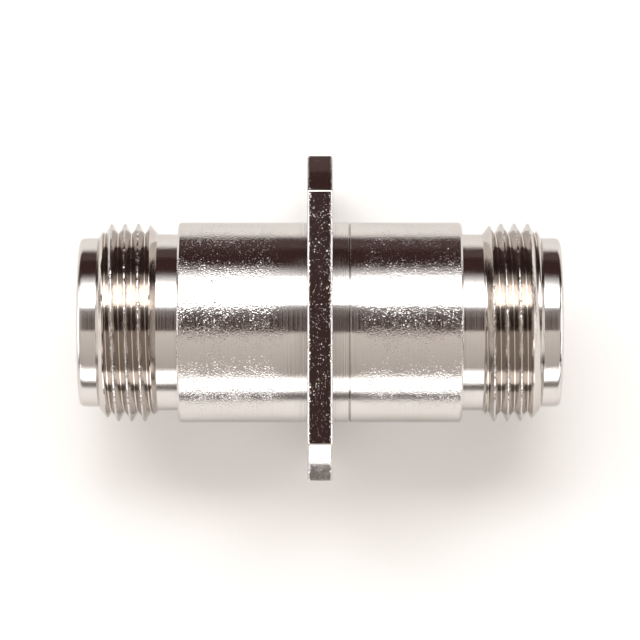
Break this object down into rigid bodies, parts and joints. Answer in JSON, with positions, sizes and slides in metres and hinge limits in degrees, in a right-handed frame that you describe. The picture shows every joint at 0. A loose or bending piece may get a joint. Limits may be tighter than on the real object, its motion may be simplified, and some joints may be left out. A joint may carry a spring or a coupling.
{
  "type": "n type coaxial panel adapter",
  "caption": "Straight coaxial adapter with a threaded jack at each end and a square panel flange round its middle.",
  "frame": {"origin": "on the coaxial axis at the middle of the flange's thickness, which is the centre of the screw pattern and of the whole part", "axes": "+X along the coaxial axis towards the end shell, +Z and +Y square to two of the flange's flats"},
  "size_m": [0.0384, 0.0254, 0.0254],
  "materials": {
    "nickel": "bright nickel plate over turned brass",
    "ptfe": "satin",
    "gold": "gold plate over brass"
  },
  "bodies": {
    "root": {"flanged_shell": "nickel", "end_shell": "nickel", "front_insulator": "ptfe", "rear_insulator": "ptfe", "centre_contact": "gold"}
  },
  "joints": []
}
